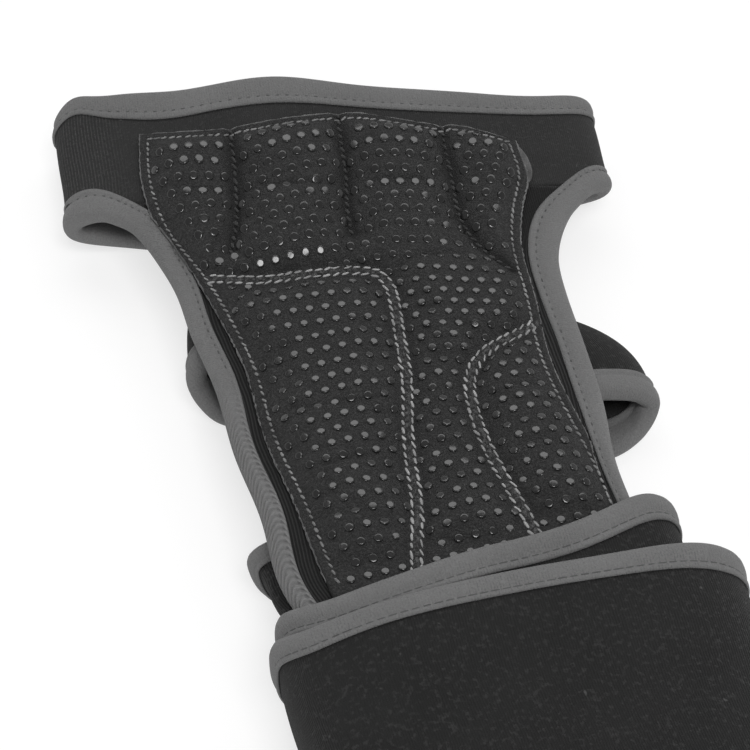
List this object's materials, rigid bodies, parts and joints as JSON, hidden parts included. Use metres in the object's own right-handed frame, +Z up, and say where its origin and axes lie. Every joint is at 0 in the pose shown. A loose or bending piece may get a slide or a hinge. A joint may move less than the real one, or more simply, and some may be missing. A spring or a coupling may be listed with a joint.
{
  "type": "weightlifting glove",
  "caption": "Right-hand open-back weightlifting glove lying palm up, with a padded dotted grip patch, two hand loops and a wound wrist wrap.",
  "frame": {"origin": "on the surface that the glove lies on, under the middle of its bounding box", "axes": "+Z up out of the palm, +Y toward the fingers, +X toward the thumb side"},
  "size_m": [0.1144, 0.217, 0.0319],
  "materials": {
    "neoprene": "matte knit-faced neoprene with fine ribs and lint",
    "knit_tape": "matte grey knitted stretch tape with fine cross ribs and a stitch row",
    "dotted_suede": "matte black suede-like cloth with glossy grey silicone dots and light grey stitching",
    "hook_tape": "black woven tape covered in small plastic hooks"
  },
  "bodies": {
    "root": {"palm_panel": "neoprene", "body_binding": "knit_tape", "knuckle_band": "neoprene", "knuckle_binding": "knit_tape", "grip_patch": "dotted_suede", "hand_strap": "neoprene", "strap_binding_wrist": "knit_tape", "strap_binding_finger": "knit_tape", "cuff": "neoprene", "cuff_binding": "knit_tape", "wrist_wrap": "neoprene", "wrap_binding_upper": "knit_tape", "wrap_binding_lower": "knit_tape", "hook_tab": "hook_tape"}
  },
  "joints": []
}
